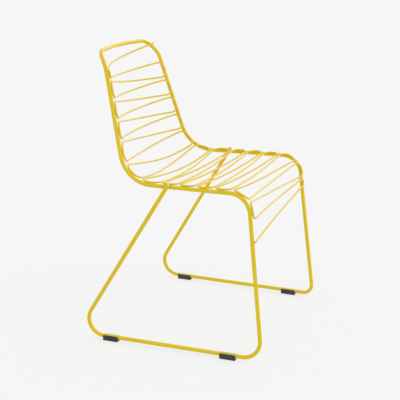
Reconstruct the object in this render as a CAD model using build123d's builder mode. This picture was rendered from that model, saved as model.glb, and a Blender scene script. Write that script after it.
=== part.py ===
from build123d import *
from math import atan, ceil, cos, radians, sin, sqrt, tan
import os

os.makedirs("parts", exist_ok=True)

# A sled-base stacking chair of bent and welded steel rod, with a wire meander for seat and back.
# Millimetres. Front is -Y, up is +Z, and +X is the sitter's left. Frame sizes are to the rod's centreline.
# Every depth is measured backwards from the knee, where the lines of seat rail and front leg meet.

# Stock
rod_diameter = 11.0
wire_diameter = 5.0
weld_gap = 0.2
rod_end_chamfer = 0.6

# Back hoop. Its corners and flares are placed below and ahead of the middle of the top bar
crown_height = 791.0
crown_depth = 478.0
crown_radius = 580.0
corner_half_width = 149.0
corner_drop = 3.0
corner_ahead = 18.5
corner_radius = 50.0
flare_half_width = 174.5
flare_drop = 40.0
flare_ahead = 48.0
flare_radius = 70.0

# Seat rails
lumbar_half_width = 230.0
lumbar_depth = 351.5
lumbar_dip = 2.5
lumbar_radius = 98.0
knee_half_width = 237.0
knee_height = 452.0
knee_radius = 56.0

# Sled legs
toe_half_width = 259.0
toe_depth = -50.0
toe_radius_left = 28.0
toe_radius_right = 48.0
heel_half_width = 268.0
heel_depth = 491.5
heel_radius = 46.0
rear_leg_depth = 225.0
rear_leg_tip = 10.0
leg_weld_radius = 5.5
leg_weld_depth = 5.0

# Butt welds in the frame, measured along the rod from the corner points
upright_joint = 150.0
front_leg_joint = 130.0

# Wire meander, measured along each rail from the middle of the top bar
first_loop = 182.5
back_loops = 4
back_pitch = 56.0
lumbar_loops = 3
lumbar_pitch = 63.0
seat_loops = 4
seat_pitch = 50.5
front_loops = 2
front_pitch = 50.5
loop_gap = 7.5
left_lag = 44.5
loop_touch = 3.0
first_loop_length = 20.0
last_loop_length = 21.0
free_lead = 48.0
free_overhang = 10.0
tail_drop = 36.0

# How far the wire bows away from the sitter between the rails
bow_top = 46.0
bow_back = 37.0
bow_lumbar = 25.5
bow_seat = 9.5
bow_knee = 8.5
bow_tail = 4.5

# Glides
glide_length = 44.0
glide_width = 16.0
glide_sole = 6.0
glide_grip = 3.5
glide_fit = 0.05
glide_edge = 1.2
front_glide_inset_left = 25.0
front_glide_inset_right = 18.0
rear_glide_inset_left = 4.5
rear_glide_inset_right = 0.5

# Drawing steps
loop_step = 20.0
straight_enough = 1e-6

rod_radius = rod_diameter / 2
wire_radius = wire_diameter / 2
runner_height = glide_sole + rod_radius
glide_height = runner_height + glide_grip
left, right = 1, -1
toe_radius = {left: toe_radius_left, right: toe_radius_right}
front_glide_inset = {left: front_glide_inset_left, right: front_glide_inset_right}
rear_glide_inset = {left: rear_glide_inset_left, right: rear_glide_inset_right}


def crown_point(knee_y):
    """Middle of the top bar, where the lines of its two halves meet."""
    return Vector(0, knee_y + crown_depth, crown_height)


def frame_corners(side, knee_y):
    """Corner points of one side's rod, from the top bar down to the heel."""
    return {
        "corner": crown_point(knee_y) + Vector(side * corner_half_width, -corner_ahead, -corner_drop),
        "flare": crown_point(knee_y) + Vector(side * flare_half_width, -flare_ahead, -flare_drop),
        "lumbar": Vector(side * lumbar_half_width, knee_y + lumbar_depth, knee_height - lumbar_dip),
        "knee": Vector(side * knee_half_width, knee_y, knee_height),
        "toe": Vector(side * toe_half_width, knee_y + toe_depth, runner_height),
        "heel": Vector(side * heel_half_width, knee_y + heel_depth, runner_height),
    }


def bent_line(points, radii):
    """Centreline of a bent rod: straight runs joined by tangent arcs."""
    with BuildLine() as line:
        FilletPolyline(*points, radius=radii)
    return line.wire()


def step_along(start, towards, distance):
    """Point at a distance from one corner towards the next."""
    return start + (towards - start).normalized() * distance


def bend_reach(before, corner, after, radius):
    """Length of straight line that a bend of this radius takes up on each side of its corner."""
    return radius * tan(radians((corner - before).get_angle(after - corner)) / 2)


def rail_line(knee_y):
    """Centreline from one toe up over the back and down to the other toe."""
    near, far = frame_corners(right, knee_y), frame_corners(left, knee_y)
    climb = ["toe", "knee", "lumbar", "flare", "corner"]
    points = [near[name] for name in climb] + [crown_point(knee_y)] + [far[name] for name in reversed(climb)]
    bends = [knee_radius, lumbar_radius, flare_radius, corner_radius]
    return bent_line(points, bends + [crown_radius] + bends[::-1])


def rear_leg_crossing(corners, side):
    """Where the rear leg passes the seat rail: the rail's own point, and the way out to the leg."""
    along = corners["lumbar"] - corners["knee"]
    on_seat_rail = corners["knee"] + along * (rear_leg_depth / lumbar_depth)
    outward = along.cross(on_seat_rail - corners["heel"]).normalized() * side
    return on_seat_rail, outward


def sled_leg_line(side, knee_y):
    """Centreline of front leg, runner and rear leg."""
    corners = frame_corners(side, knee_y)
    on_seat_rail, outward = rear_leg_crossing(corners, side)
    crossing = on_seat_rail + outward * (rod_diameter + weld_gap)
    points = [
        step_along(corners["knee"], corners["toe"], front_leg_joint),
        corners["toe"],
        corners["heel"],
        step_along(crossing, corners["heel"], -rear_leg_tip),
    ]
    return bent_line(points, [toe_radius[side], heel_radius])


def export(part, name):
    """Label a finished piece and write its file."""
    part.label = name
    export_step(part, f"parts/{name}.step")


# The chair stands with the middle of its depth over the origin
front_most = min(sled_leg_line(side, 0).bounding_box().min.Y for side in (left, right))
knee_y = -(rail_line(0).bounding_box().max.Y + front_most) / 2
rails = rail_line(knee_y)
rail_half_length = rails.length / 2
below_flare = ["front leg", "knee bend", "seat rail", "lumbar bend", "upright"]
upright_start = rail_half_length - sum(rails.edges()[index].length for index in range(len(below_flare)))

# Back hoop
near, far = frame_corners(right, knee_y), frame_corners(left, knee_y)
hoop_points = [
    step_along(near["lumbar"], near["flare"], upright_joint),
    near["flare"],
    near["corner"],
    crown_point(knee_y),
    far["corner"],
    far["flare"],
    step_along(far["lumbar"], far["flare"], upright_joint),
]
hoop_line = bent_line(hoop_points, [flare_radius, corner_radius, crown_radius, corner_radius, flare_radius])
with BuildPart() as back_hoop:
    with BuildSketch(Plane(hoop_line @ 0, z_dir=hoop_line % 0)):
        Circle(rod_radius)
    sweep(path=hoop_line)
export(back_hoop.part, "back_hoop")

for side, side_name in ((left, "left"), (right, "right")):
    corners = frame_corners(side, knee_y)

    # Seat rail, from the butt weld in the upright to the one in the front leg
    rail_points = [
        step_along(corners["lumbar"], corners["flare"], upright_joint),
        corners["lumbar"],
        corners["knee"],
        step_along(corners["knee"], corners["toe"], front_leg_joint),
    ]
    seat_rail_line = bent_line(rail_points, [lumbar_radius, knee_radius])
    with BuildPart() as seat_rail:
        with BuildSketch(Plane(seat_rail_line @ 0, z_dir=seat_rail_line % 0)):
            Circle(rod_radius)
        sweep(path=seat_rail_line)
    export(seat_rail.part, f"seat_rail_{side_name}")

    # Sled leg, with its open end deburred
    leg_line = sled_leg_line(side, knee_y)
    with BuildPart() as sled_leg:
        with BuildSketch(Plane(leg_line @ 0, z_dir=leg_line % 0)):
            Circle(rod_radius)
        sweep(path=leg_line)
        open_end = sled_leg.faces().sort_by_distance(leg_line @ 1)[0]
        chamfer(open_end.edges(), rod_end_chamfer)
    export(sled_leg.part, f"sled_leg_{side_name}")

    # Weld between rear leg and seat rail, filling the wedge round the point where they touch
    on_seat_rail, outward = rear_leg_crossing(corners, side)
    weld_middle = on_seat_rail + outward * (rod_diameter + weld_gap) / 2
    with BuildPart() as leg_weld:
        with BuildSketch(Plane(weld_middle, z_dir=outward)):
            Circle(leg_weld_radius)
        extrude(amount=leg_weld_depth / 2, both=True)
        add(seat_rail.part, mode=Mode.SUBTRACT)
        add(sled_leg.part, mode=Mode.SUBTRACT)
    export(leg_weld.part, f"leg_weld_{side_name}")

    # Glides, clipped onto the runner behind its toe bend and ahead of its heel bend, with a slot along the top
    toe_reach = bend_reach(corners["knee"], corners["toe"], corners["heel"], toe_radius[side])
    heel_reach = bend_reach(corners["toe"], corners["heel"], leg_line @ 1, heel_radius)
    front_middle = toe_reach + front_glide_inset[side] + glide_length / 2
    rear_middle = heel_reach + rear_glide_inset[side] + glide_length / 2
    glide_places = {
        "front": step_along(corners["toe"], corners["heel"], front_middle),
        "rear": step_along(corners["heel"], corners["toe"], rear_middle),
    }
    for end_name, middle in glide_places.items():
        runner = corners["heel"] - corners["toe"]
        sideways = Vector(0, 0, 1).cross(runner)
        across = Plane(middle, x_dir=sideways, z_dir=runner)
        lengthwise = Plane(middle, x_dir=runner, z_dir=sideways * -1)
        block_middle = (0, glide_height / 2 - runner_height)
        with BuildPart() as glide:
            with BuildSketch(across):
                with Locations(block_middle):
                    Rectangle(glide_width, glide_height)
                fillet(vertices(), glide_edge)
                Circle(rod_radius + glide_fit, mode=Mode.SUBTRACT)
            extrude(amount=glide_length / 2, both=True)
            with BuildSketch(lengthwise):
                with Locations(block_middle):
                    Rectangle(glide_length, glide_height)
                fillet(vertices(), glide_edge)
            extrude(amount=glide_width, both=True, mode=Mode.INTERSECT)
        export(glide.part, f"glide_{end_name}_{side_name}")


def bow_at(distance):
    """Bow of a cross run at this distance down the rails."""
    for (upper, upper_bow), (lower, lower_bow) in zip(bow_stations, bow_stations[1:]):
        if distance <= lower:
            share = max(0, distance - upper) / (lower - upper)
            return upper_bow + (lower_bow - upper_bow) * share
    return bow_tail


def on_rail(side, distance):
    """Point on the wire where it lies on a rail, the way down the rail, and the way to the sitter."""
    place = rail_half_length + side * distance
    along = rails.tangent_at(place, position_mode=PositionMode.LENGTH) * side
    to_sitter = Vector(0, along.Z, -along.Y).normalized()
    inward = along.cross(to_sitter) * side
    rod_middle = rails.position_at(place, position_mode=PositionMode.LENGTH)
    tilt = 2 * atan(bow_at(distance) / abs(rod_middle.X))
    contact = to_sitter * cos(tilt) + inward * sin(tilt)
    return rod_middle + contact * (rod_radius + weld_gap + wire_radius), along, to_sitter


def along_rail(side, begin, end):
    """Stretch of wire that lies along a rail, as points with directions."""
    steps = ceil((end - begin) / loop_step)
    places = [begin + (end - begin) * step / steps for step in range(steps + 1)]
    return [on_rail(side, place)[:2] for place in places]


def cross_run(from_side, begin, to_side, end, begin_reach, end_reach):
    """Stretch of wire from rail to rail, bowed away from the sitter, as points with directions."""
    start, finish = on_rail(from_side, begin)[0], on_rail(to_side, end)[0]
    start_up = on_rail(from_side, max(begin, upright_start))[2]
    finish_up = on_rail(to_side, max(end, upright_start))[2]
    chord = (finish - start).normalized()
    slope = 2 * atan(2 * bow_at((begin + end) / 2) / (finish - start).length)
    start_down = (chord * start_up.dot(chord) - start_up).normalized()
    finish_down = (chord * finish_up.dot(chord) - finish_up).normalized()
    leaving = chord * cos(slope) + start_down * sin(slope)
    arriving = chord * cos(slope) - finish_down * sin(slope)
    return [(start + leaving * begin_reach, leaving), (finish - arriving * end_reach, arriving)]


def loop_bend(begin, end):
    """Length of rail over which each end of a loop bends round, so that only its middle touches the rail."""
    return (end - begin - loop_touch) / 2


def wire_line(nodes):
    """Straight runs and tangent arcs through points that each have a direction."""
    with BuildLine() as line:
        for (start, leaving), (finish, arriving) in zip(nodes, nodes[1:]):
            gap = finish - start
            chord = gap.normalized()
            mirrored = chord * (2 * leaving.dot(chord)) - leaving
            if (leaving - chord).length < straight_enough and (arriving - chord).length < straight_enough:
                Line(start, finish)
            elif (mirrored - arriving).length < straight_enough:
                TangentArc(start, finish, tangent=leaving)
            else:
                both = leaving + arriving
                square = 2 - 2 * leaving.dot(arriving)
                half = gap.dot(both)
                reach = gap.dot(gap) / (half + sqrt(half * half + square * gap.dot(gap)))
                middle = (start + leaving * reach + finish - arriving * reach) / 2
                turned = (finish - arriving * reach - start - leaving * reach).normalized()
                TangentArc(start, middle, tangent=leaving)
                TangentArc(middle, finish, tangent=turned)
    return line.wire()


# Wire meander: where each loop starts and ends on its rail
zones = [
    ("back", back_loops, back_pitch),
    ("lumbar", lumbar_loops, lumbar_pitch),
    ("seat", seat_loops, seat_pitch),
    ("front", front_loops, front_pitch),
]
right_loops = []
left_loops = []
wire_names = []
zone_ends = []
loop_start = first_loop
for zone, loops, pitch in zones:
    for loop in range(loops):
        wire_names.append(f"{zone}_wire_{loop + 1}")
        loop_end = loop_start + pitch - loop_gap
        right_loops.append((loop_start, loop_end))
        left_loops.append((loop_start + left_lag, loop_end + left_lag))
        loop_start += pitch
    zone_ends.append(loop_start)
first_end = right_loops[0][1]
right_loops[0] = (first_end - first_loop_length, first_end)
last_start = left_loops[-1][0]
last_end = last_start + last_loop_length
left_loops[-1] = (last_start, last_end)

back_end, lumbar_end, seat_end, front_end = [zone_end + left_lag / 2 for zone_end in zone_ends]
bow_stations = [
    (first_loop, bow_top),
    (first_loop + left_lag, bow_back),
    (back_end + lumbar_pitch, bow_back),
    ((back_end + lumbar_end) / 2, bow_lumbar),
    (lumbar_end, bow_seat),
    (seat_end, bow_knee),
    (front_end, bow_tail),
]

# Each length of the meander is a hairpin: from the middle of a left loop, over a right loop, to the next left loop
hairpins = []
for loop, (right_start, right_end) in enumerate(right_loops):
    left_start, left_end = left_loops[loop]
    right_bend, left_bend = loop_bend(right_start, right_end), loop_bend(left_start, left_end)
    if loop == 0:
        nodes = cross_run(left, right_start - free_lead, right, right_start, -free_overhang, right_bend)
    else:
        above_start, above_end = left_loops[loop - 1]
        above_bend = loop_bend(above_start, above_end)
        nodes = along_rail(left, (above_start + above_end) / 2, above_end - above_bend)
        nodes += cross_run(left, above_end, right, right_start, above_bend, right_bend)
    nodes += along_rail(right, right_start + right_bend, right_end - right_bend)
    nodes += cross_run(right, right_end, left, left_start, right_bend, left_bend)
    nodes += along_rail(left, left_start + left_bend, (left_start + left_end) / 2)
    hairpins.append(nodes)
last_bend = loop_bend(last_start, last_end)
tail = along_rail(left, (last_start + last_end) / 2, last_end - last_bend)
tail += cross_run(left, last_end, right, last_end + tail_drop, last_bend, 0)
hairpins.append(tail)
wire_names.append(f"front_wire_{front_loops + 1}")

for name, nodes in zip(wire_names, hairpins):
    line = wire_line(nodes)
    with BuildPart() as wire:
        with BuildSketch(Plane(line @ 0, z_dir=line % 0)):
            Circle(wire_radius)
        sweep(path=line)
    export(wire.part, name)
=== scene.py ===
import math
import bmesh
import bpy
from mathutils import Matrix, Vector
from mathutils.bvhtree import BVHTree


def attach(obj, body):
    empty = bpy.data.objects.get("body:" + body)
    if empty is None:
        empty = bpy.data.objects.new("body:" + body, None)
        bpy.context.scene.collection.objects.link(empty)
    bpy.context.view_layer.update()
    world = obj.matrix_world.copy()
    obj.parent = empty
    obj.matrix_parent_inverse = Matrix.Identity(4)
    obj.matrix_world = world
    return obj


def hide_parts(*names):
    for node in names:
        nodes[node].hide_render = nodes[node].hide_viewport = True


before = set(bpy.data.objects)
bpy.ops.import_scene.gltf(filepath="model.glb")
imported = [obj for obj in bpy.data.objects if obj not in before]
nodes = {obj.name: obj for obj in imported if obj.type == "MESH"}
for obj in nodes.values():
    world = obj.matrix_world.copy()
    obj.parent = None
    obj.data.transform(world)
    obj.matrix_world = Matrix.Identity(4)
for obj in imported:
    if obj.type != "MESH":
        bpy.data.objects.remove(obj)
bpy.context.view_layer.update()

wireNames = sorted(n for n in nodes if "_wire_" in n)
rodNames = ["back_hoop", "seat_rail_left", "seat_rail_right", "sled_leg_left", "sled_leg_right"]
weldNames = ["leg_weld_left", "leg_weld_right"]
glideNames = sorted(n for n in nodes if n.startswith("glide_"))
sideSigns = {"left": 1, "right": -1}  # the sitter's left is +X
print("loaded", len(nodes), "nodes:", len(wireNames), "wires,",
      len(rodNames), "rods,", len(glideNames), "glides")


# small helpers for the shader trees

mixSockets = {"factor": 0, "a": 6, "b": 7, "result": 2}  # the Mix node's sockets for colours


def feed(tree, socket, value):
    if isinstance(value, (int, float, tuple)):
        socket.default_value = value
    else:
        tree.links.new(value, socket)


def newGroup(name, inputs, output, outputKind):
    tree = bpy.data.node_groups.new(name, "ShaderNodeTree")
    for label, value in inputs.items():
        kind = "NodeSocketColor" if isinstance(value, tuple) else "NodeSocketFloat"
        socket = tree.interface.new_socket(name=label, in_out="INPUT", socket_type=kind)
        socket.default_value = value
    tree.interface.new_socket(name=output, in_out="OUTPUT", socket_type=outputKind)
    return tree, tree.nodes.new("NodeGroupInput"), tree.nodes.new("NodeGroupOutput")


def placeGroup(tree, group, **values):
    node = tree.nodes.new("ShaderNodeGroup")
    node.node_tree = group
    for label, value in values.items():
        feed(tree, node.inputs[label], value)
    return node.outputs[0]


def addMath(tree, operation, a, b):
    node = tree.nodes.new("ShaderNodeMath")
    node.operation = operation
    feed(tree, node.inputs[0], a)
    feed(tree, node.inputs[1], b)
    return node.outputs[0]


def addNoise(tree, scale, detail, roughness=0.5):
    place = tree.nodes.new("ShaderNodeTexCoord")
    node = tree.nodes.new("ShaderNodeTexNoise")
    node.inputs["Detail"].default_value = detail
    node.inputs["Roughness"].default_value = roughness
    tree.links.new(place.outputs["Object"], node.inputs["Vector"])
    feed(tree, node.inputs["Scale"], scale)
    return node.outputs["Fac"]


def addRange(tree, value, fromSpan, toSpan=(0.0, 1.0)):
    node = tree.nodes.new("ShaderNodeMapRange")
    node.interpolation_type = "SMOOTHSTEP"
    labels = ("From Min", "From Max", "To Min", "To Max")
    for label, number in zip(labels, (*fromSpan, *toSpan)):
        node.inputs[label].default_value = number
    tree.links.new(value, node.inputs["Value"])
    return node.outputs["Result"]


def addMix(tree, factor, a, b):
    node = tree.nodes.new("ShaderNodeMix")
    node.data_type = "RGBA"
    feed(tree, node.inputs[mixSockets["factor"]], factor)
    feed(tree, node.inputs[mixSockets["a"]], a)
    feed(tree, node.inputs[mixSockets["b"]], b)
    return node.outputs[mixSockets["result"]]


# skin: the fine waviness of a sprayed coat, or the spark grain of a mould

skinLook = {
    "fineDetail": 2.0,
    "broadScale": 0.22,  # of the fine waves' scale
    "broadDetail": 1.0,
}


def makeSkinGrain(look):
    inputs = {"Scale": 700.0, "Broad": 0.5}
    tree, given, result = newGroup("skinGrain", inputs, "Height", "NodeSocketFloat")
    fine = addNoise(tree, given.outputs["Scale"], look["fineDetail"])
    broadScale = addMath(tree, "MULTIPLY", given.outputs["Scale"], look["broadScale"])
    broad = addNoise(tree, broadScale, look["broadDetail"])
    swell = addMath(tree, "MULTIPLY", broad, given.outputs["Broad"])
    tree.links.new(addMath(tree, "ADD", fine, swell), result.inputs["Height"])
    return tree


# tone: slow drift of the colour from one end of a bar to the other

toneLook = {
    "detail": 3.0,
    "span": (0.3, 0.7),  # noise from where the coat is thin to where it is thick
}


def makeToneDrift(look):
    gray = (0.5, 0.5, 0.5, 1.0)
    inputs = {"Thin": gray, "Thick": gray, "Scale": 9.0}
    tree, given, result = newGroup("toneDrift", inputs, "Color", "NodeSocketColor")
    drift = addRange(tree, addNoise(tree, given.outputs["Scale"], look["detail"]), look["span"])
    color = addMix(tree, drift, given.outputs["Thin"], given.outputs["Thick"])
    tree.links.new(color, result.inputs["Color"])
    return tree


# dust: a thin film on whatever faces up

dustLook = {
    "facing": (0.25, 0.95),  # the normal's rise, from clean to dusty
    "detail": 5.0,
    "grit": 0.65,
    "patches": (0.35, 0.75),
    "film": (0.35, 1.0),  # share of dust between the patches and on them
}


def makeDustFilm(look):
    inputs = {"Amount": 0.1, "Scale": 60.0}
    tree, given, result = newGroup("dustFilm", inputs, "Mask", "NodeSocketFloat")
    normal = tree.nodes.new("ShaderNodeNewGeometry").outputs["Normal"]
    parts = tree.nodes.new("ShaderNodeSeparateXYZ")
    tree.links.new(normal, parts.inputs["Vector"])
    upward = addRange(tree, parts.outputs["Z"], look["facing"])
    specks = addNoise(tree, given.outputs["Scale"], look["detail"], look["grit"])
    patchy = addRange(tree, specks, look["patches"], look["film"])
    film = addMath(tree, "MULTIPLY", upward, patchy)
    tree.links.new(addMath(tree, "MULTIPLY", film, given.outputs["Amount"]), result.inputs["Mask"])
    return tree


# rub: patches dulled by clothes, hands and the next chair in the stack

rubLook = {
    "detail": 4.0,
    "grit": 0.6,
    "patches": (0.52, 0.68),
    "streakScale": 14.0,  # of the patches' scale
    "streakDetail": 2.0,
    "streaks": (0.4, 0.7),
}


def makeRubMarks(look):
    inputs = {"Amount": 0.2, "Scale": 30.0}
    tree, given, result = newGroup("rubMarks", inputs, "Mask", "NodeSocketFloat")
    blots = addNoise(tree, given.outputs["Scale"], look["detail"], look["grit"])
    patches = addRange(tree, blots, look["patches"])
    streakScale = addMath(tree, "MULTIPLY", given.outputs["Scale"], look["streakScale"])
    streaks = addRange(tree, addNoise(tree, streakScale, look["streakDetail"]), look["streaks"])
    marks = addMath(tree, "MULTIPLY", patches, streaks)
    tree.links.new(addMath(tree, "MULTIPLY", marks, given.outputs["Amount"]), result.inputs["Mask"])
    return tree


skinGrain = makeSkinGrain(skinLook)
toneDrift = makeToneDrift(toneLook)
dustFilm = makeDustFilm(dustLook)
rubMarks = makeRubMarks(rubLook)
print("node groups ready")


# what both finishes share: the toned colour with its dust, the rubbed patches and the skin

def newFinish(name):
    material = bpy.data.materials.new(name)
    material.use_nodes = True
    return material, material.node_tree, material.node_tree.nodes["Principled BSDF"]


def addLayers(tree, look):
    color = placeGroup(tree, toneDrift, Thin=look["thin"], Thick=look["thick"],
                       Scale=look["toneScale"])
    film = placeGroup(tree, dustFilm, Amount=look["dust"], Scale=look["dustScale"])
    marks = placeGroup(tree, rubMarks, Amount=look["rubbed"], Scale=look["rubScale"])
    return addMix(tree, film, color, look["dustColor"]), film, marks


def addSkin(tree, shader, look):
    bump = tree.nodes.new("ShaderNodeBump")
    bump.inputs["Strength"].default_value = look["skinStrength"]
    bump.inputs["Distance"].default_value = look["skinDepth"]
    height = placeGroup(tree, skinGrain, Scale=look["skinScale"], Broad=look["skinBroad"])
    tree.links.new(height, bump.inputs["Height"])
    tree.links.new(bump.outputs["Normal"], shader.inputs["Normal"])
    shader.inputs["IOR"].default_value = look["ior"]
    shader.inputs["Specular IOR Level"].default_value = look["shine"]


# yellow powder coat, on every rod, wire and weld

powderCoat = {
    "thin": (0.745, 0.536, 0.006, 1.0),
    "thick": (0.772, 0.562, 0.008, 1.0),
    "toneScale": 9.0,
    "dustColor": (0.74, 0.66, 0.42, 1.0),
    "dust": 0.05,
    "dustScale": 70.0,
    "dustDulls": 0.8,
    "roughness": 0.22,
    "rubbed": 0.12,  # how much duller a rubbed patch is
    "rubScale": 26.0,
    "skinScale": 620.0,
    "skinBroad": 0.8,
    "skinDepth": 0.00003,
    "skinStrength": 0.5,
    "ior": 1.5,
    "shine": 0.2,
}


def makePowderCoat(look):
    material, tree, shader = newFinish("powderCoat")
    color, film, marks = addLayers(tree, look)
    tree.links.new(color, shader.inputs["Base Color"])
    dulled = addMath(tree, "MULTIPLY", film, look["dustDulls"])
    dull = addMath(tree, "ADD", dulled, look["roughness"])
    tree.links.new(addMath(tree, "ADD", dull, marks), shader.inputs["Roughness"])
    addSkin(tree, shader, look)
    return material


# dark moulded plastic of the four glides

glidePlastic = {
    "thin": (0.036, 0.042, 0.042, 1.0),
    "thick": (0.048, 0.055, 0.055, 1.0),
    "toneScale": 60.0,
    "dustColor": (0.24, 0.235, 0.22, 1.0),
    "dust": 0.08,
    "dustScale": 160.0,
    "roughness": 0.52,
    "rubbed": 0.9,
    "rubScale": 180.0,
    "scuffColor": (0.16, 0.165, 0.165, 1.0),
    "scuffTop": 0.004,  # metres above the floor where the scuffing ends
    "scuffAbove": 0.12,  # share of it that is left higher up
    "scuffDulls": 0.25,
    "skinScale": 2600.0,
    "skinBroad": 0.3,
    "skinDepth": 0.00004,
    "skinStrength": 0.6,
    "ior": 1.46,
    "shine": 0.3,
}


def makeGlidePlastic(look):
    material, tree, shader = newFinish("glidePlastic")
    color, film, marks = addLayers(tree, look)
    place = tree.nodes.new("ShaderNodeTexCoord")
    parts = tree.nodes.new("ShaderNodeSeparateXYZ")
    tree.links.new(place.outputs["Object"], parts.inputs["Vector"])
    low = addRange(tree, parts.outputs["Z"], (0.0, look["scuffTop"]), (1.0, look["scuffAbove"]))
    scuff = addMath(tree, "MULTIPLY", marks, low)
    tree.links.new(addMix(tree, scuff, color, look["scuffColor"]), shader.inputs["Base Color"])
    dulled = addMath(tree, "MULTIPLY", scuff, look["scuffDulls"])
    tree.links.new(addMath(tree, "ADD", dulled, look["roughness"]), shader.inputs["Roughness"])
    addSkin(tree, shader, look)
    return material


def dressNodes(names, material):
    for name in names:
        nodes[name].data.materials.clear()
        nodes[name].data.materials.append(material)


coat = makePowderCoat(powderCoat)
plastic = makeGlidePlastic(glidePlastic)
dressNodes(wireNames + rodNames + weldNames, coat)
dressNodes(glideNames, plastic)
print("materials on", len(nodes), "nodes")


# contacts: spots half way between two surfaces that touch, each with the rod's normal there

loopContact = {
    "reach": 0.0007,  # a wire this near to a rod lies on it
    "split": 0.012,  # contacts further apart than this belong to two loops
    "depthWeight": 3,  # of depth against height, which puts the contacts in order along a rail
    "lookBack": 40,  # as many of a loop's last contacts are measured to
}


def surfaceOf(name):
    mesh = nodes[name].data
    return BVHTree.FromPolygons([v.co for v in mesh.vertices], [p.vertices for p in mesh.polygons])


def touching(mesh, surface, reach, side):
    found = []
    for vertex in mesh.vertices:
        spot, normal, _, _ = surface.find_nearest(vertex.co, reach)
        if spot is not None:
            found.append((spot.lerp(vertex.co, 0.5), normal))
    return [contact for contact in found if contact[0].x * sideSigns[side] > 0]


def splitContacts(contacts, look):
    def alongRail(contact):  # from the top bar down to the front leg
        return -(look["depthWeight"] * contact[0].y + contact[0].z)

    groups = []
    for contact in sorted(contacts, key=alongRail):
        last = groups[-1][-look["lookBack"]:] if groups else []
        if not any((contact[0] - other[0]).length <= look["split"] for other in last):
            groups.append([])
        groups[-1].append(contact)
    return groups


def railSurfaces(side):
    return [surfaceOf(name) for name in ("back_hoop", "seat_rail_" + side, "sled_leg_" + side)]


def railContacts(side, meshes, look):
    surfaces = railSurfaces(side)
    contacts = []
    for mesh in meshes:
        for surface in surfaces:
            contacts += touching(mesh, surface, look["reach"], side)
    return splitContacts(contacts, look)


def middleOf(group):
    return sum((spot for spot, normal in group), Vector()) / len(group)


def loopLine(group):
    spots = [spot for spot, normal in group]
    middle = middleOf(group)
    normal = sum((n for spot, n in group), Vector()).normalized()
    first = max(spots, key=lambda s: (s - middle).length)
    last = max(spots, key=lambda s: (s - first).length)
    along = first - last
    along = (along - normal * along.dot(normal)).normalized()
    return middle, normal, along, (first - last).length


def joinScene(piece):
    bpy.context.scene.collection.objects.link(piece)
    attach(piece, "root")


# the wires again, with the left loops laid further round to the rail's inner side
# than the solids have them

loopRoll = {
    # degrees for each left loop, from the top bar to the front
    "turns": [12, 18, 20, 30, 28, 25, 22, 18, 16, 18, 28, 36, 32, 34],
    "center": 0.0082,  # metres from the rod's middle to the wire's
    "whole": 0.008,  # up to this far from the rod the wire moves fully
    "fade": 0.09,  # and from here on it stays put
    "spread": 0.02,  # over which neighbouring loops blend
}


def easeIn(share):
    return share * share * (3 - 2 * share)


def rollShifts(groups, look):
    shifts = []
    for group, turn in zip(groups, look["turns"]):
        middle, normal, along, _ = loopLine(group)
        inward = along.cross(normal)
        if inward.x > 0:
            inward = -inward
        angle = math.radians(turn)
        rolled = normal * math.cos(angle) + inward * math.sin(angle)
        shifts.append((middle, (rolled - normal) * look["center"]))
    return shifts


def blendShifts(spot, shifts, spread):
    weights = [math.exp(-((spot - middle).length / spread) ** 2 / 2) for middle, shift in shifts]
    moves = (shift * weight for weight, (middle, shift) in zip(weights, shifts))
    return sum(moves, Vector()) / sum(weights)


def rollWire(wire, rods, shifts, look):
    for vertex in wire.data.vertices:
        hits = [rod.find_nearest(vertex.co, look["fade"]) for rod in rods]
        gaps = [gap for spot, normal, face, gap in hits if spot is not None]
        if vertex.co.x < 0 or not gaps:
            continue
        share = min(1.0, (look["fade"] - min(gaps)) / (look["fade"] - look["whole"]))
        vertex.co += blendShifts(vertex.co, shifts, look["spread"]) * easeIn(share)


# the run under the top bar isn't quite straight

firstRun = {
    "wire": "laid_back_wire_1",
    "lifts": [  # metres in from the right loop, metres up
        (0.0, 0.0),
        (0.03, -0.0012),
        (0.07, 0.0004),
        (0.125, 0.0028),
        (0.18, 0.0022),
        (0.23, 0.0015),
        (0.31, 0.0),
    ],
    "loopHalf": 0.02,  # metres from the middle of the first left loop up to its run
}


def liftAt(inset, lifts):
    for (start, low), (end, high) in zip(lifts, lifts[1:]):
        if inset <= end:
            share = max(0.0, inset - start) / (end - start)
            return low + (high - low) * easeIn(share)
    return 0.0


def liftFirstRun(wire, look):
    nearLoops = railContacts("right", [wire.data], loopContact)
    farLoops = railContacts("left", [wire.data], loopContact)
    if not nearLoops or len(farLoops) < 2:  # the free end and the first loop are needed
        print("first run left straight")
        return
    start = middleOf(nearLoops[0])
    freeEnd, loop = middleOf(farLoops[0]), middleOf(farLoops[1])
    end = freeEnd.lerp(loop + Vector((0, 0, look["loopHalf"])), 0.5)
    for vertex in wire.data.vertices:  # only the run above the line between the two
        along = (vertex.co.x - start.x) / (end.x - start.x)
        if vertex.co.z > start.z + (end.z - start.z) * along:
            vertex.co.z += liftAt(vertex.co.x - start.x, look["lifts"])


def layWires(look):
    wires = []
    for name in wireNames:
        wire = bpy.data.objects.new("laid_" + name, nodes[name].data.copy())
        joinScene(wire)
        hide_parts(name)
        wires.append(wire)
    groups = railContacts("left", [wire.data for wire in wires], loopContact)
    shifts = rollShifts(groups, look)
    rods = railSurfaces("left")
    for wire in wires:
        rollWire(wire, rods, shifts, look)
        if wire.name == firstRun["wire"]:
            liftFirstRun(wire, firstRun)
    print("laid", len(wires), "wires,", len(shifts), "places rolled")
    return wires


laidWires = layWires(loopRoll)


# weld seams, both kinds made of rings that are joined up

def ringSteps(count):
    return [-1 + 2 * i / (count - 1) for i in range(count)]


def turnSteps(count):
    return [2 * math.pi * k / count for k in range(count)]


def joinRings(mesh, rings):
    for low, high in zip(rings, rings[1:]):
        for k in range(len(low)):
            j = (k + 1) % len(low)
            mesh.faces.new((low[k], low[j], high[j], high[k]))


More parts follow.
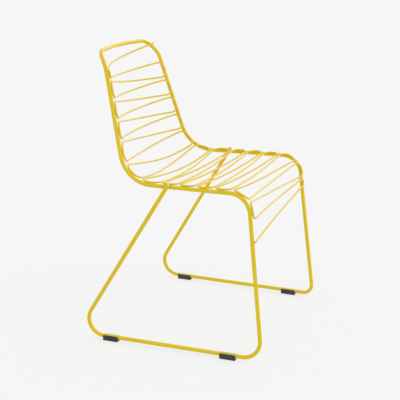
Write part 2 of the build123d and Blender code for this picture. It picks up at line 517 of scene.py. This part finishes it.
def finishPiece(name, mesh):
    bmesh.ops.recalc_face_normals(mesh, faces=mesh.faces)
    data = bpy.data.meshes.new(name)
    mesh.to_mesh(data)
    mesh.free()
    for face in data.polygons:
        face.use_smooth = True
    data.materials.append(coat)
    joinScene(bpy.data.objects.new(name, data))


# a short bead where a wire loop or a wire's end lies on a rod

loopSeam = {
    "length": 0.013,
    "shortest": 0.005,
    "share": 0.8,  # of the contact's own length, between those two
    "width": 0.0027,
    "height": 0.0012,
    "bluntness": 4,  # power that rounds off the two ends
    "ripples": 5,
    "rippleDepth": 0.09,
    "rings": 21,
    "around": 12,
    "merge": 0.000001,  # closes the points at the two ends
}


def addSeam(mesh, middle, along, normal, length, look):
    across = normal.cross(along).normalized()
    rings = []
    for t in ringSteps(look["rings"]):
        ripple = 1 + look["rippleDepth"] * math.cos(t * math.pi * look["ripples"])
        swell = math.sqrt(max(0.0, 1 - t ** look["bluntness"])) * ripple
        center = middle + along * (t * length / 2)
        ring = []
        for turn in turnSteps(look["around"]):
            side = across * (math.cos(turn) * look["width"] * swell)
            rise = normal * (math.sin(turn) * look["height"] * swell)
            ring.append(mesh.verts.new(center + side + rise))
        rings.append(ring)
    joinRings(mesh, rings)
    bmesh.ops.remove_doubles(mesh, verts=rings[0] + rings[-1], dist=look["merge"])


def weldLoops(side, look):
    groups = railContacts(side, [wire.data for wire in laidWires], loopContact)
    mesh = bmesh.new()
    for group in groups:
        middle, normal, along, length = loopLine(group)
        bead = max(look["shortest"], min(look["length"], length * look["share"]))
        addSeam(mesh, middle, along, normal, bead, look)
    print("welded", len(groups), "loops and ends on the", side)
    finishPiece("loop_welds_" + side, mesh)


# a flat ring where two rods meet end to end

buttSeam = {
    "reach": 0.0016,
    "radius": 0.0055,
    "proud": 0.00006,
    "taper": 1.6,  # lets the ring's edges dip below the rod
    "half": 0.0014,
    "frontOf": -0.1,  # behind this the leg has its side weld, which is a node of its own
    "armLeast": 0.003,  # contacts nearer to the middle don't tell the rod's direction
    "rings": 9,
    "around": 40,
}


def addCollar(mesh, middle, axis, look):
    u = axis.orthogonal().normalized()
    w = axis.cross(u)
    rings = []
    for t in ringSteps(look["rings"]):
        radius = look["radius"] + look["proud"] * (1 - look["taper"] * t * t)
        center = middle + axis * (t * look["half"])
        spokes = [u * math.cos(a) + w * math.sin(a) for a in turnSteps(look["around"])]
        rings.append([mesh.verts.new(center + spoke * radius) for spoke in spokes])
    joinRings(mesh, rings)


def weldRods(look):
    mesh = bmesh.new()
    for side in sideSigns:
        rail = "seat_rail_" + side
        for other in ("back_hoop", "sled_leg_" + side):
            contacts = touching(nodes[other].data, surfaceOf(rail), look["reach"], side)
            if other != "back_hoop":
                contacts = [c for c in contacts if c[0].y < look["frontOf"]]
            middle = middleOf(contacts)
            arms = [spot - middle for spot, normal in contacts]
            arms = [arm for arm in arms if arm.length > look["armLeast"]]
            axis = max((arms[0].cross(arm) for arm in arms), key=lambda c: c.length).normalized()
            addCollar(mesh, middle, axis, look)
            print("rod joint of", rail, "and", other, "at", [round(v * 1000, 1) for v in middle])
    finishPiece("frame_joint_welds", mesh)


weldLoops("left", loopSeam)
weldLoops("right", loopSeam)
weldRods(buttSeam)


# white studio: a pale floor without end, an even sky and two broad soft lamps

studio = {
    "floorSize": 80.0,
    "floorColor": (0.84, 0.84, 0.84, 1.0),
    "white": (1.0, 1.0, 1.0, 1.0),
    "paperWhite": 0.925,  # the even white that the camera sees in floor and sky
    "glowShare": 0.75,  # of it in the floor, so that the rest shows the shadow
    "skyStrength": 0.88,
    "lamps": {  # name: direction towards the lamp, strength, how wide it looks in degrees
        "softKey": ((0.10, -0.62, 0.78), 0.55, 50),
        "farGlow": ((0.93, -0.15, 0.32), 0.60, 45),
    },
}


def seenRays(tree):
    rays = tree.nodes.new("ShaderNodeLightPath").outputs
    seen = addMath(tree, "MAXIMUM", rays["Is Camera Ray"], rays["Is Glossy Ray"])
    return addMath(tree, "MAXIMUM", seen, rays["Is Transmission Ray"])


def makeFloor(look):
    bpy.ops.mesh.primitive_plane_add(size=look["floorSize"], location=(0, 0, 0))
    floor = bpy.context.object
    floor.name = "paper_floor"
    paper = bpy.data.materials.new("paperFloor")
    paper.use_nodes = True
    tree = paper.node_tree
    tree.nodes.clear()
    out = tree.nodes.new("ShaderNodeOutputMaterial")
    matt = tree.nodes.new("ShaderNodeBsdfDiffuse")
    matt.inputs["Color"].default_value = look["floorColor"]
    glow = tree.nodes.new("ShaderNodeEmission")
    glow.inputs["Color"].default_value = look["white"]
    glow.inputs["Strength"].default_value = look["paperWhite"]
    mix = tree.nodes.new("ShaderNodeMixShader")
    share = addMath(tree, "MULTIPLY", seenRays(tree), look["glowShare"])
    tree.links.new(share, mix.inputs["Fac"])
    tree.links.new(matt.outputs[0], mix.inputs[1])
    tree.links.new(glow.outputs[0], mix.inputs[2])
    tree.links.new(mix.outputs[0], out.inputs["Surface"])
    floor.data.materials.append(paper)


def makeSky(look):
    world = bpy.data.worlds.new("evenSky")
    world.use_nodes = True
    tree = world.node_tree
    sky = tree.nodes["Background"]
    sky.inputs["Color"].default_value = look["white"]
    step = look["paperWhite"] - look["skyStrength"]
    extra = addMath(tree, "MULTIPLY", seenRays(tree), step)
    tree.links.new(addMath(tree, "ADD", extra, look["skyStrength"]), sky.inputs["Strength"])
    bpy.context.scene.world = world


def makeLamps(look):
    for name, (towards, strength, width) in look["lamps"].items():
        data = bpy.data.lights.new(name, "SUN")
        data.energy = strength
        data.angle = math.radians(width)
        lamp = bpy.data.objects.new(name, data)
        lamp.rotation_euler = Vector(towards).to_track_quat("Z", "Y").to_euler()
        bpy.context.scene.collection.objects.link(lamp)


makeFloor(studio)
makeSky(studio)
makeLamps(studio)
bpy.context.scene.view_settings.view_transform = "Standard"
print("studio ready")


# the photograph's place: right of the chair, a little in front, above the back

viewpoint = {
    "place": (-2.4527, -0.9506, 1.0909),
    "turn": -68.5596,  # degrees round the upright axis
    "lift": 15.6155,  # degrees that the camera looks down
    "lens": 85.297,
    "sensor": 36.0,
}


def makeCamera(look):
    turn = math.radians(look["turn"])
    lift = math.radians(look["lift"])
    level = math.cos(lift)
    back = Vector((math.sin(turn) * level, -math.cos(turn) * level, math.sin(lift)))
    data = bpy.data.cameras.new("photoCamera")
    data.lens = look["lens"]
    data.sensor_width = look["sensor"]
    camera = bpy.data.objects.new("photoCamera", data)
    camera.location = look["place"]
    camera.rotation_euler = (-back).to_track_quat("-Z", "Y").to_euler()
    bpy.context.scene.collection.objects.link(camera)
    bpy.context.scene.camera = camera


makeCamera(viewpoint)
print("camera ready")
